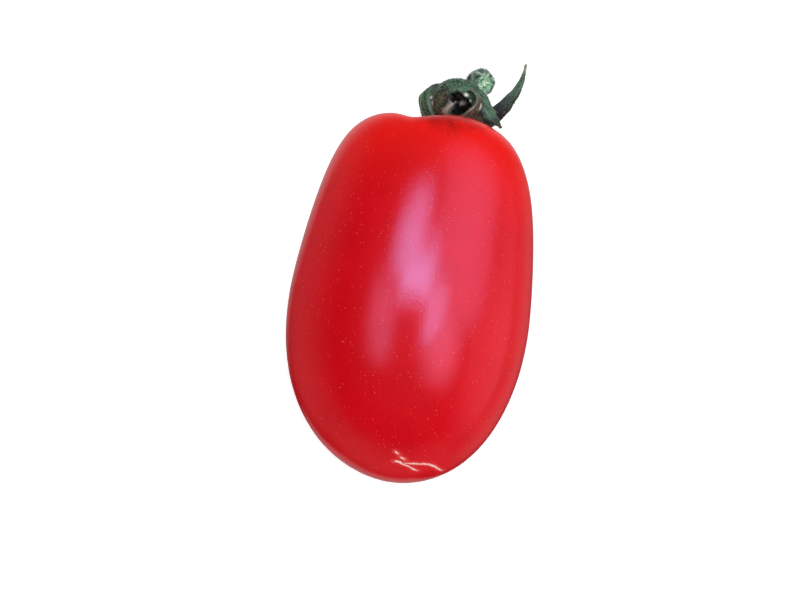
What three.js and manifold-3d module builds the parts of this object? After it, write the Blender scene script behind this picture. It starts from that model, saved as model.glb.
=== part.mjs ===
// A ripe plum tomato lying on its side, as picked, with its dried calyx and a stub of stem.
//
// Millimetres, +Z up. The long axis lies along Y with the stem end at +Y. The origin is the
// middle of the small flat spot that the fruit rests on, so the surface under it is z = 0.
// Three pieces: the fruit, the calyx (five curled sepals grown from one green disc) and the
// stem stub that broke off at its knuckle.

import * as THREE from "three";
import { mergeVertices } from "three/addons/utils/BufferGeometryUtils.js";
import Module from "manifold-3d";

// Fruit: driving sizes
const halfWidth = 24.15; // widest half-width, across X
const flattening = 0.965; // depth over width, because the fruit is a little flat as it lies
const stemLength = 39.2; // from the widest section to the shoulder
const tipLength = 34; // from the widest section to the blossom tip
const stemSquareness = 5.1; // superellipse exponent of the blunt stem half
const tipSquareness = 2.15; // the same for the rounder tip half
const stemTaper = 0.168; // share of the width lost by the shoulder
const taperPower = 1.45;
const stemBow = 3.4; // sideways bow of the stem half
const tipLean = 1.2; // sideways lean of the blossom tip
const nippleHeight = 0.35;
const nippleSpread = 7;
const restDepth = 0.45; // how much of the round underside the flat spot takes away
const restAxisY = 0.5; // the flat spot's middle, along the axis from the widest section

// Fruit: the stem hollow and the furrows between its three lobes
const hollowX = 4.3; // the stem hollow stands off the axis
const hollowZ = -1.0;
const hollowDepth = 2.2;
const hollowSpread = 6.5;
const lobeCount = 3;
const lobeAngle = THREE.MathUtils.degToRad(61); // towards the middle of the front lobe
const furrowSharpness = 0.03; // smaller is a sharper furrow
const furrowNarrowness = 2.2; // larger is a narrower furrow
const furrowDepth = 5;
const furrowRing = 11; // distance from the hollow at which the furrows are deepest
const furrowSpread = 6.5;
const furrowPinch = 0.09; // share of the radius that the furrows take from the upper body

const fruitSegments = 64;
const fruitRings = 40;

// Calyx and stem: driving sizes
const gap = 0.3; // clearance between neighbouring pieces
const discRadius = 3.3;
const discHeight = 1.5;
const discSides = 24;
const sepalThickness = 0.75;
const sepalEdgeThickness = 0.6;
const sepalSteps = 20;
const sepalColumns = 6;
const stemRadius = 1.65;
const knuckleRadius = 2.4;
const stemSides = 16;
const stemSteps = 14;

const restHeight = halfWidth * flattening - restDepth; // axis height above the surface

// Distance of the superellipse along a unit direction: along is the share on the axis.
function superellipse(along, across, power) {
  return Math.pow(Math.pow(Math.abs(along), power) + Math.pow(across, power), -1 / power);
}

// How deep a furrow is at an angle round the stem hollow: 0 on a lobe, almost 1 in a furrow.
function furrow(angle) {
  const wave = Math.cos((lobeCount / 2) * (angle - lobeAngle));
  const lobe = Math.sqrt((wave * wave + furrowSharpness) / (1 + furrowSharpness));
  return Math.pow(1 - lobe, furrowNarrowness);
}

// A point of the fruit's skin for a unit direction, about the middle of its widest section.
function skinPoint(direction) {
  const across = Math.hypot(direction.x, direction.z);
  const stemHalf = direction.y >= 0;
  const power = stemHalf ? stemSquareness : tipSquareness;
  const length = stemHalf ? stemLength : tipLength;
  const reach = superellipse(direction.y, across, power);
  let y = direction.y * reach * length;
  const rise = Math.min(Math.max(y / stemLength, 0), 1);
  const fall = Math.min(Math.max(-y / tipLength, 0), 1);
  const taper = 1 - stemTaper * Math.pow(rise, taperPower);
  let x = direction.x * reach * halfWidth * taper;
  let z = direction.z * reach * halfWidth * flattening * taper;
  const bow = stemBow * rise * rise * (1 - rise);
  const angle = Math.atan2(z - hollowZ, x + bow - hollowX);
  const pinch = 1 - furrowPinch * furrow(angle) * rise * rise;
  const fromHollow = Math.hypot(x + bow - hollowX, z - hollowZ);
  const fromAxis = Math.hypot(x, z);
  x = x * pinch + bow + tipLean * Math.pow(fall, 3);
  z = z * pinch;
  if (stemHalf) {
    const ring = Math.exp(-Math.pow((fromHollow - furrowRing) / furrowSpread, 2));
    y -= hollowDepth * Math.exp(-Math.pow(fromHollow / hollowSpread, 2));
    y -= furrowDepth * furrow(angle) * ring;
  } else {
    y -= nippleHeight * Math.exp(-Math.pow(fromAxis / nippleSpread, 2));
  }
  return new THREE.Vector3(x, y, Math.max(z, -restHeight));
}

// The fruit's own axis runs above the surface, and the flat spot's middle is the origin.
function toPartFrame(point) {
  return new THREE.Vector3(point.x, point.y - restAxisY, point.z + restHeight);
}

function bareGeometry(geometry) {
  geometry.deleteAttribute("normal");
  geometry.deleteAttribute("uv");
  return mergeVertices(geometry, 1e-4);
}

function fruitGeometry() {
  const geometry = bareGeometry(new THREE.SphereGeometry(1, fruitSegments, fruitRings));
  const position = geometry.getAttribute("position");
  const direction = new THREE.Vector3();
  for (let i = 0; i < position.count; i++) {
    direction.fromBufferAttribute(position, i).normalize();
    const point = toPartFrame(skinPoint(direction));
    position.setXYZ(i, point.x, point.y, point.z);
  }
  geometry.computeVertexNormals();
  return geometry;
}

// The calyx frame: x to the fruit's right, y out along its axis, z up, from the hollow's floor.
function hollowFloor() {
  const direction = new THREE.Vector3(0, 1, 0);
  let point = skinPoint(direction);
  for (let i = 0; i < 12; i++) {
    direction.x += (hollowX - point.x) / 60;
    direction.z += (hollowZ - point.z) / 60;
    direction.normalize();
    point = skinPoint(direction);
  }
  return toPartFrame(new THREE.Vector3(hollowX, point.y, hollowZ));
}

// Five sepals. path: the middle line from the disc to the tip. face: where the outer side looks
// at the base, halfway and at the tip. width: the widest part. roll: how far the edges turn in,
// in radians from the middle to the edge, at the base and at the tip. fullness: how long the
// blade keeps its width before its point; the front sepal has none, because its tip is gone.
// squash: how flat the roll is, as a share of a round one.
const sepals = {
  left: {
    path: [
      [-1.0, 1.1, 0.2],
      [-3.2, 2.6, 0.9],
      [-5.1, 5.0, 1.3],
      [-6.8, 8.0, 1.4],
      [-6.5, 10.6, 1.0],
      [-4.7, 12.2, 0.4],
      [-2.6, 12.0, -0.4],
    ],
    face: [
      [-0.3, -1, 0.3],
      [-0.7, 0.2, 1],
      [0.2, 0.8, 0.8],
    ],
    width: 6.2,
    fullness: 2.8,
    roll: [0.5, 0.9],
  },
  front: {
    path: [
      [0.4, 1.1, 0.7],
      [1.5, 1.8, 2.2],
      [1.8, 2.3, 4.0],
      [1.1, 2.7, 5.8],
      [-0.1, 3.0, 7.6],
    ],
    face: [
      [0.2, -0.8, 0.8],
      [0.2, -1, 0.2],
      [0, -1, 0],
    ],
    width: 25,
    roll: [3.02, 3.02],
    squash: 0.8,
  },
  arch: {
    path: [
      [-1.0, 1.1, -0.4],
      [-3.4, 4.0, 0.6],
      [-4.8, 6.3, 2.8],
      [-4.8, 8.2, 4.6],
      [-3.4, 10.2, 5.6],
      [-1.2, 11.2, 6.0],
      [1.2, 10.8, 6.2],
      [3.4, 9.2, 6.2],
      [5.2, 7.3, 5.9],
      [6.8, 5.4, 5.4],
      [8.8, 3.4, 4.5],
    ],
    face: [
      [-0.9, -0.3, 0.4],
      [-0.1, 0.8, 0.8],
      [0.7, 0.5, 0.7],
    ],
    width: 6.4,
    fullness: 12,
    roll: [0.5, 0.6],
  },
  right: {
    path: [
      [1.0, 1.1, -0.3],
      [4.2, 3.5, -0.7],
      [7.0, 6.5, -0.9],
      [9.4, 9.7, -0.9],
      [11.3, 12.9, -1.0],
      [12.3, 16.3, -1.2],
      [12.6, 20.2, -1.4],
    ],
    face: [
      [0.2, -1, 0.2],
      [0.6, -0.5, 0.9],
      [0.9, -0.1, 0.5],
    ],
    width: 5.2,
    fullness: 1.7,
    roll: [0.7, 0.9],
  },
  back: {
    path: [
      [0.0, 1.1, -1.0],
      [0.2, 2.4, -4.0],
      [0.6, 4.4, -6.4],
      [1.2, 7.4, -7.6],
      [2.0, 10.2, -6.8],
      [2.6, 11.8, -5.0],
    ],
    face: [
      [0, -1, -0.3],
      [0.2, -0.2, -1],
      [0.3, 1, -0.3],
    ],
    width: 8.5,
    fullness: 2.4,
    roll: [0.5, 0.9],
  },
};

// The stem stub's middle line, in the calyx frame.
const stemPath = [
  [0.1, discHeight + 2 * gap, -0.3],
  [0.3, 6.0, -1.0],
  [1.2, 10.4, -1.5],
  [3.1, 14.8, -0.5],
  [4.8, 13.1, 2.4],
];

const vector = (xyz) => new THREE.Vector3(...xyz);

// Triangles that close a round ring, as corners counted round the ring.
function roundCap(count) {
  return Array.from({ length: count - 2 }, (_, k) => [0, k + 1, k + 2]);
}

// The same for a blade's ring: its outer side, then its inner side on the way back.
function bladeCap(count) {
  const triangles = [];
  for (let k = 0; k < count / 2 - 1; k++) {
    triangles.push([k, k + 1, count - 2 - k], [k, count - 2 - k, count - 1 - k]);
  }
  return triangles;
}

// A closed body through rings of the same number of points.
function skinOverRings(rings, cap) {
  const perRing = rings[0].length;
  const index = [];
  for (let r = 0; r + 1 < rings.length; r++) {
    for (let k = 0; k < perRing; k++) {
      const a = r * perRing + k;
      const b = r * perRing + ((k + 1) % perRing);
      index.push(a, b, a + perRing, b, b + perRing, a + perRing);
    }
  }
  const last = (rings.length - 1) * perRing;
  for (const [a, b, c] of cap(perRing)) {
    index.push(a, c, b, last + a, last + b, last + c);
  }
  const geometry = new THREE.BufferGeometry().setFromPoints(rings.flat());
  geometry.setIndex(index);
  return geometry;
}

// A sepal's width along its length, as a share of its widest: narrow base, pointed tip.
function pointedShare(t, fullness) {
  const shoulder = 0.62 + 0.38 * Math.sin(Math.PI * Math.min(t / 0.56, 1) * 0.5);
  return Math.max(shoulder * Math.pow(1 - Math.pow(t, fullness), 0.9), 0.12);
}

// The front sepal has lost its tip: it ends as an open roll.
function brokenShare(t) {
  return 0.34 + 0.66 * Math.sin(Math.PI * 0.5 * Math.min(t * 1.15, 1));
}

function sepalGeometry(sepal) {
  const path = new THREE.CatmullRomCurve3(sepal.path.map(vector));
  const faces = sepal.face.map(vector);
  const rings = [];
  for (let i = 0; i <= sepalSteps; i++) {
    const t = i / sepalSteps;
    const centre = path.getPointAt(t);
    const along = path.getTangentAt(t);
    const half = Math.min(Math.floor(t * 2), 1);
    const outer = faces[half].clone().lerp(faces[half + 1], t * 2 - half);
    outer.addScaledVector(along, -outer.dot(along)).normalize();
    const across = new THREE.Vector3().crossVectors(along, outer);
    const share = sepal.fullness ? pointedShare(t, sepal.fullness) : brokenShare(t);
    const halfSize = (sepal.width / 2) * share;
    const roll = THREE.MathUtils.lerp(sepal.roll[0], sepal.roll[1], t);
    const radius = halfSize / roll;
    const squash = sepal.squash ?? 1;
    const ring = [];
    const side = (columns, sign) => {
      for (const w of columns) {
        const thick = THREE.MathUtils.lerp(sepalThickness, sepalEdgeThickness, w * w) / 2;
        const turn = roll * w;
        const lift = squash * radius * (Math.cos(turn) - 1) + sign * thick * Math.cos(turn);
        ring.push(
          centre
            .clone()
            .addScaledVector(across, (radius + sign * thick) * Math.sin(turn))
            .addScaledVector(outer, lift),
        );
      }
    };
    const columns = Array.from({ length: sepalColumns + 1 }, (_, k) => (2 * k) / sepalColumns - 1);
    side(columns, 1);
    side(columns.toReversed(), -1);
    rings.push(ring);
  }
  return skinOverRings(rings, bladeCap);
}

// The green disc that the sepals grow from. Its underside follows the hollow.
function discGeometry() {
  const rise = (r) => hollowDepth * (1 - Math.exp(-Math.pow(r / hollowSpread, 2)));
  const outline = [
    [0, gap],
    [discRadius * 0.6, gap + rise(discRadius * 0.6)],
    [discRadius, gap + rise(discRadius)],
    [discRadius * 1.02, gap + rise(discRadius) + 0.35],
    [discRadius * 0.8, discHeight],
    [discRadius * 0.4, discHeight + gap],
    [0, discHeight + gap],
  ];
  const profile = outline.map(([r, y]) => new THREE.Vector2(r, y));
  return bareGeometry(new THREE.LatheGeometry(profile, discSides));
}

// The stem stub, or the same shape with a clearance all round it.
function stemGeometry(clearance) {
  const path = new THREE.CatmullRomCurve3(stemPath.map(vector));
  const frames = path.computeFrenetFrames(stemSteps);
  const rings = [];
  for (let i = 0; i <= stemSteps; i++) {
    const t = i / stemSteps;
    const centre = path.getPointAt(t);
    const flare = 0.35 * Math.exp(-Math.pow(t / 0.12, 2));
    const swell = Math.exp(-Math.pow((t - 0.86) / 0.22, 2));
    const radius = stemRadius + flare + (knuckleRadius - stemRadius) * swell + clearance;
    const ring = [];
    for (let k = 0; k < stemSides; k++) {
      const angle = (2 * Math.PI * k) / stemSides;
      ring.push(
        centre
          .clone()
          .addScaledVector(frames.normals[i], radius * Math.cos(angle))
          .addScaledVector(frames.binormals[i], radius * Math.sin(angle)),
      );
    }
    rings.push(ring);
  }
  return skinOverRings(rings, roundCap);
}

const wasm = await Module();
wasm.setup();

// A geometry as a manifold-3d solid, with its faces turned outwards.
function solidFrom(geometry) {
  const merged = bareGeometry(geometry.clone());
  const vertProperties = new Float32Array(merged.getAttribute("position").array);
  const triVerts = new Uint32Array(merged.index.array);
  const solid = new wasm.Manifold(new wasm.Mesh({ numProp: 3, vertProperties, triVerts }));
  if (solid.volume() > 0) return solid;
  for (let i = 0; i < triVerts.length; i += 3) {
    [triVerts[i + 1], triVerts[i + 2]] = [triVerts[i + 2], triVerts[i + 1]];
  }
  return new wasm.Manifold(new wasm.Mesh({ numProp: 3, vertProperties, triVerts }));
}

function geometryFrom(solid) {
  const mesh = solid.getMesh();
  const geometry = new THREE.BufferGeometry();
  geometry.setAttribute("position", new THREE.BufferAttribute(mesh.vertProperties, 3));
  geometry.setIndex(new THREE.BufferAttribute(mesh.triVerts, 1));
  geometry.computeVertexNormals();
  return geometry;
}

const fruitSkin = new THREE.MeshStandardMaterial({ color: 0xc8101a, roughness: 0.3 });
const sepalGreen = new THREE.MeshStandardMaterial({ color: 0x3f5c46, roughness: 0.75 });
const stemGreen = new THREE.MeshStandardMaterial({ color: 0x5b7a58, roughness: 0.8 });

const tomato = new THREE.Group();

const fruit = new THREE.Mesh(fruitGeometry(), fruitSkin);
fruit.name = "fruit";
tomato.add(fruit);

const stemEnd = new THREE.Group();
stemEnd.position.copy(hollowFloor());
tomato.add(stemEnd);

let calyxSolid = solidFrom(discGeometry());
for (const sepal of Object.values(sepals)) {
  calyxSolid = calyxSolid.add(solidFrom(sepalGeometry(sepal)));
}
const stemSolid = solidFrom(stemGeometry(0));
calyxSolid = calyxSolid.subtract(solidFrom(stemGeometry(gap)));
const calyx = new THREE.Mesh(geometryFrom(calyxSolid), sepalGreen);
calyx.name = "calyx";
stemEnd.add(calyx);

const stem = new THREE.Mesh(geometryFrom(stemSolid), stemGreen);
stem.name = "stem_stub";
stemEnd.add(stem);

export default tomato;
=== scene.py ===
import math
import bmesh
import bpy
import numpy as np
from mathutils import Matrix, Vector, noise
from mathutils.bvhtree import BVHTree


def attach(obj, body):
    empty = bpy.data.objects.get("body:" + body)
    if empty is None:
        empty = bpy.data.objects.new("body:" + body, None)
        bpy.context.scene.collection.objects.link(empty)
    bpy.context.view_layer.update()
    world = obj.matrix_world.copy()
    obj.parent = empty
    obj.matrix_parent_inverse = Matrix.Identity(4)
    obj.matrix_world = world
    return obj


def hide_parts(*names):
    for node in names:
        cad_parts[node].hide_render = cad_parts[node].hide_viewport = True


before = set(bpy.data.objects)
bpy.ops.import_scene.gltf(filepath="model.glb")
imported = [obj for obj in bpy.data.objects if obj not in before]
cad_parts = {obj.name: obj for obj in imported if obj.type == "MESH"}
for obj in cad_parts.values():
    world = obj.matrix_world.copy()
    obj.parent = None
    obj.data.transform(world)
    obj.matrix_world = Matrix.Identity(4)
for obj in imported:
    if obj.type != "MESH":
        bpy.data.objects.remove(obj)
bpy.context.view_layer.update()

# A ripe plum tomato lying on its side: fruit, blossom scar, curled calyx, broken stem stub.
# The long axis lies along Y with the stem end at +Y. Sizes are in millimetres, turned to metres
# where a mesh is made.
mm = 0.001


def srgb(hexColour):
    channels = [int(hexColour[i:i + 2], 16) / 255 for i in (1, 3, 5)]
    linear = [c / 12.92 if c <= 0.04045 else ((c + 0.055) / 1.055) ** 2.4 for c in channels]
    return (*linear, 1.0)


def addNode(tree, kind, inputs=None, **settings):
    node = tree.nodes.new(kind)
    for name, value in settings.items():
        setattr(node, name, value)
    for key, value in (inputs or {}).items():
        if isinstance(value, bpy.types.NodeSocket):
            tree.links.new(value, node.inputs[key])
        else:
            node.inputs[key].default_value = value
    return node


def newMaterial(name):
    material = bpy.data.materials.new(name)
    material.use_nodes = True
    material.node_tree.nodes.clear()
    return material, material.node_tree


def rampStops(ramp, stops):
    elements = ramp.color_ramp.elements
    while len(elements) > 1:
        elements.remove(elements[-1])
    elements[0].position, elements[0].color = stops[0][0], stops[0][1]
    for position, colour in stops[1:]:
        elements.new(position).color = colour
    return ramp


def meshObject(name, points, faces, material):
    mesh = bpy.data.meshes.new(name)
    mesh.from_pydata([tuple(p) for p in points], [], faces)
    mesh.materials.append(material)
    mesh.polygons.foreach_set("use_smooth", [True] * len(mesh.polygons))
    mesh.update()
    piece = bpy.data.objects.new(name, mesh)
    bpy.context.collection.objects.link(piece)
    return piece


def surfaceOf(piece):
    return BVHTree.FromPolygons(
        [v.co for v in piece.data.vertices], [p.vertices for p in piece.data.polygons])


def tubeFaces(first, rings, sides):
    # A closed tube over points that stand ring after ring, with a flat cap at each end.
    faces = []
    for i in range(rings):
        for k in range(sides):
            a, b = first + i * sides + k, first + i * sides + (k + 1) % sides
            faces.append((a, b, b + sides, a + sides))
    faces.append(tuple(first + k for k in reversed(range(sides))))
    faces.append(tuple(first + rings * sides + k for k in range(sides)))
    return faces


def pointAttribute(mesh, name, values):
    attribute = mesh.attributes.new(name, "FLOAT", "POINT")
    attribute.data.foreach_set("value", np.asarray(values, dtype=np.float32))


def bakedByNodes(source, name, tree, values):
    modifier = source.modifiers.new(name, "NODES")
    modifier.node_group = tree
    for item in tree.interface.items_tree:
        if item.in_out == "INPUT" and item.name in values:
            modifier[item.identifier] = values[item.name]
    graph = bpy.context.evaluated_depsgraph_get()
    mesh = bpy.data.meshes.new_from_object(source.evaluated_get(graph))
    mesh.name = name
    source.modifiers.remove(modifier)
    piece = bpy.data.objects.new(name, mesh)
    bpy.context.collection.objects.link(piece)
    return piece


def geometryTree(name, sizes):
    tree = bpy.data.node_groups.new(name, "GeometryNodeTree")
    tree.interface.new_socket("Geometry", in_out="INPUT", socket_type="NodeSocketGeometry")
    for size in sizes:
        tree.interface.new_socket(size, in_out="INPUT", socket_type="NodeSocketFloat")
    tree.interface.new_socket("Geometry", in_out="OUTPUT", socket_type="NodeSocketGeometry")
    return tree


def finishTree(tree, geometry, material):
    real = addNode(tree, "GeometryNodeRealizeInstances", {"Geometry": geometry})
    coated = addNode(tree, "GeometryNodeSetMaterial", {
        "Geometry": real.outputs[0], "Material": material})
    addNode(tree, "NodeGroupOutput", {0: coated.outputs[0]})
    return tree


# Fruit

fruit = {
    "sizes": {
        "Half width": 24.15,
        "Flattening": 0.965,
        "Stem length": 39.2,
        "Tip length": 34.0,
        "Stem squareness": 5.1,
        "Tip squareness": 2.15,
        "Stem taper": 0.168,
        "Taper power": 1.45,
        "Stem bow": 3.4,
        "Tip lean": 1.2,
        "Nipple height": 0.35,
        "Nipple spread": 7.0,
        "Rest height": 24.15 * 0.965 - 0.45,
        "Rest along": 0.5,
        "Hollow sideways": 4.3,
        "Hollow upward": -1.0,
        "Hollow depth": 2.2,
        "Hollow spread": 6.5,
        "Half lobe count": 1.5,
        "Lobe angle": math.radians(61),
        "Furrow sharpness": 0.03,
        "Furrow narrowness": 2.2,
        "Furrow depth": 5.0,
        "Furrow ring": 11.0,
        "Furrow spread": 6.5,
        "Furrow pinch": 0.09,
        "Unevenness": 0.006,
    },
    "segments": 256,
    "rings": 192,
    "unevenScale": 3.2,
}

# The fruit's shape as a rule, one step a line: name, operation, then what goes into it. It bends
# a unit ball whose own axis is "along" into the fruit, in mm.
skinRule = [
    ("flatSquare", "MULTIPLY", "sideways", "sideways"),
    ("acrossSquare", "MULTIPLY_ADD", "upward", "upward", "flatSquare"),
    ("across", "SQRT", "acrossSquare"),
    ("stemHalf", "GREATER_THAN", "along", 0.0),
    ("tipHalf", "SUBTRACT", 1.0, "stemHalf"),
    ("powerStep", "SUBTRACT", "Stem squareness", "Tip squareness"),
    ("power", "MULTIPLY_ADD", "powerStep", "stemHalf", "Tip squareness"),
    ("lengthStep", "SUBTRACT", "Stem length", "Tip length"),
    ("length", "MULTIPLY_ADD", "lengthStep", "stemHalf", "Tip length"),
    ("alongSize", "ABSOLUTE", "along"),
    ("alongPart", "POWER", "alongSize", "power"),
    ("acrossPart", "POWER", "across", "power"),
    ("partSum", "ADD", "alongPart", "acrossPart"),
    ("minusInverse", "DIVIDE", -1.0, "power"),
    ("reach", "POWER", "partSum", "minusInverse"),
    ("alongShare", "MULTIPLY", "along", "reach"),
    ("smoothY", "MULTIPLY", "alongShare", "length"),
    ("riseShare", "DIVIDE", "smoothY", "Stem length"),
    ("rise", "MAXIMUM", "riseShare", 0.0),
    ("fallShare", "DIVIDE", "smoothY", "Tip length"),
    ("fallDown", "MINIMUM", "fallShare", 0.0),
    ("taperShare", "POWER", "rise", "Taper power"),
    ("taperLoss", "MULTIPLY", "taperShare", "Stem taper"),
    ("taper", "SUBTRACT", 1.0, "taperLoss"),
    ("unevenStep", "SUBTRACT", "unevenNoise", 0.5),
    ("uneven", "MULTIPLY_ADD", "unevenStep", "Unevenness", 1.0),
    ("sectionTaper", "MULTIPLY", "taper", "uneven"),
    ("sectionSize", "MULTIPLY", "Half width", "sectionTaper"),
    ("radius", "MULTIPLY", "reach", "sectionSize"),
    ("roundX", "MULTIPLY", "sideways", "radius"),
    ("depthRadius", "MULTIPLY", "radius", "Flattening"),
    ("roundZ", "MULTIPLY", "upward", "depthRadius"),
    ("riseSquare", "MULTIPLY", "rise", "rise"),
    ("riseLeft", "SUBTRACT", 1.0, "rise"),
    ("bowShare", "MULTIPLY", "riseSquare", "riseLeft"),
    ("stemShift", "MULTIPLY", "bowShare", "Stem bow"),
    ("leanedX", "ADD", "roundX", "stemShift"),
    ("hollowX", "SUBTRACT", "leanedX", "Hollow sideways"),
    ("hollowZ", "SUBTRACT", "roundZ", "Hollow upward"),
    ("angle", "ARCTAN2", "hollowZ", "hollowX"),
    ("hollowXSquare", "MULTIPLY", "hollowX", "hollowX"),
    ("hollowSquare", "MULTIPLY_ADD", "hollowZ", "hollowZ", "hollowXSquare"),
    ("fromHollow", "SQRT", "hollowSquare"),
    ("axisXSquare", "MULTIPLY", "roundX", "roundX"),
    ("axisSquare", "MULTIPLY_ADD", "roundZ", "roundZ", "axisXSquare"),
    ("angleStep", "SUBTRACT", "angle", "Lobe angle"),
    ("lobePhase", "MULTIPLY", "angleStep", "Half lobe count"),
    ("lobeWave", "COSINE", "lobePhase"),
    ("waveSharp", "MULTIPLY_ADD", "lobeWave", "lobeWave", "Furrow sharpness"),
    ("sharpSum", "ADD", "Furrow sharpness", 1.0),
    ("waveShare", "DIVIDE", "waveSharp", "sharpSum"),
    ("lobe", "SQRT", "waveShare"),
    ("notLobe", "SUBTRACT", 1.0, "lobe"),
    ("furrow", "POWER", "notLobe", "Furrow narrowness"),
    ("pinchShare", "MULTIPLY", "furrow", "riseSquare"),
    ("pinchLoss", "MULTIPLY", "pinchShare", "Furrow pinch"),
    ("pinch", "SUBTRACT", 1.0, "pinchLoss"),
    ("fallSquare", "MULTIPLY", "fallDown", "fallDown"),
    ("fallCube", "MULTIPLY", "fallSquare", "fallDown"),
    ("lean", "MULTIPLY", "fallCube", "Tip lean"),
    ("pinchedX", "MULTIPLY", "roundX", "pinch"),
    ("shiftedX", "ADD", "pinchedX", "stemShift"),
    ("x", "SUBTRACT", "shiftedX", "lean"),
    ("pinchedZ", "MULTIPLY", "roundZ", "pinch"),
    ("hollowReach", "DIVIDE", "fromHollow", "Hollow spread"),
    ("hollowReachSquare", "MULTIPLY", "hollowReach", "hollowReach"),
    ("hollowFade", "MULTIPLY", "hollowReachSquare", -1.0),
    ("hollowBell", "EXPONENT", "hollowFade"),
    ("hollowDip", "MULTIPLY", "hollowBell", "Hollow depth"),
    ("ringStep", "SUBTRACT", "fromHollow", "Furrow ring"),
    ("ringReach", "DIVIDE", "ringStep", "Furrow spread"),
    ("ringReachSquare", "MULTIPLY", "ringReach", "ringReach"),
    ("ringFade", "MULTIPLY", "ringReachSquare", -1.0),
    ("ring", "EXPONENT", "ringFade"),
    ("furrowRing", "MULTIPLY", "furrow", "ring"),
    ("stemDip", "MULTIPLY_ADD", "furrowRing", "Furrow depth", "hollowDip"),
    ("stemDrop", "MULTIPLY", "stemDip", "stemHalf"),
    ("nippleSquare", "MULTIPLY", "Nipple spread", "Nipple spread"),
    ("nippleReach", "DIVIDE", "axisSquare", "nippleSquare"),
    ("nippleFade", "MULTIPLY", "nippleReach", -1.0),
    ("nippleBell", "EXPONENT", "nippleFade"),
    ("nippleRise", "MULTIPLY", "nippleBell", "Nipple height"),
    ("tipDrop", "MULTIPLY", "nippleRise", "tipHalf"),
    ("endDrop", "ADD", "stemDrop", "tipDrop"),
    ("fruitY", "SUBTRACT", "smoothY", "endDrop"),
    ("y", "SUBTRACT", "fruitY", "Rest along"),
    ("liftedZ", "ADD", "pinchedZ", "Rest height"),
    ("z", "MAXIMUM", "liftedZ", 0.0),
]


def fruitTree(material):
    tree = geometryTree("fruitShape", fruit["sizes"])
    sizes = addNode(tree, "NodeGroupInput").outputs
    ball = addNode(tree, "GeometryNodeMeshUVSphere", {
        "Segments": fruit["segments"], "Rings": fruit["rings"], "Radius": 1.0})
    place = addNode(tree, "GeometryNodeInputPosition")
    parts = addNode(tree, "ShaderNodeSeparateXYZ", {0: place.outputs[0]}).outputs
    down = addNode(tree, "ShaderNodeMath", {0: parts["Y"], 1: -1.0}, operation="MULTIPLY")
    bumps = addNode(tree, "ShaderNodeTexNoise", {
        "Vector": place.outputs[0], "Scale": fruit["unevenScale"], "Detail": 1.0})
    field = {name: sizes[name] for name in fruit["sizes"]}
    field.update(sideways=parts["X"], along=parts["Z"], upward=down.outputs[0],
                 unevenNoise=bumps.outputs[0])
    for name, operation, *inputs in skinRule:
        values = {i: field.get(v, v) for i, v in enumerate(inputs)}
        field[name] = addNode(tree, "ShaderNodeMath", values, operation=operation).outputs[0]
    skinPoint = addNode(tree, "ShaderNodeCombineXYZ", {0: field["x"], 1: field["y"], 2: field["z"]})
    inMetres = addNode(tree, "ShaderNodeVectorMath", {0: skinPoint.outputs[0], "Scale": mm},
                       operation="SCALE")
    moved = addNode(tree, "GeometryNodeSetPosition", {
        "Geometry": ball.outputs["Mesh"], "Position": inMetres.outputs[0]})
    smooth = addNode(tree, "GeometryNodeSetShadeSmooth", {"Geometry": moved.outputs[0]})
    return finishTree(tree, smooth.outputs[0], material)


skin = {
    "deep": "#bc000f",
    "body": "#d20415",
    "mottle": 9.0,  # mm between patches of colour
    "warm": "#e0140c",
    "warmFrom": 12,  # mm along the fruit, where the orange cast starts
    "warmTo": 38,  # mm, where it is full
    "calyxShadow": "#8c0a0a",
    "calyxShadowAt": (3.2, 38.0),  # mm, by the calyx: painted shadow and painted reflection of the calyx, a deeper red in streaks
    "calyxShadowFrom": 12.5,  # mm from there, where the deeper red starts
    "calyxShadowTo": 7.0,  # mm, where it is full
    "calyxShadowShare": 0.7,
    "calyxShadowStreak": 3.0,  # mm between streaks
    "calyxShadowRagged": 9.0,  # mm that a streak moves the edge
    "fleck": "#f0846a",
    "fleckPitch": 0.62,  # mm between lenticels, which show as golden flecks
    "fleckSize": 0.17,  # share of the pitch
    "fleckShare": 0.85,
    "fleckPower": 2.2,  # a higher power leaves more of the flecks faint
    "scarSide": "#e0504a",
    "porePitch": 0.4,  # mm
    "poreDepth": 0.038,  # mm
}


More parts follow.
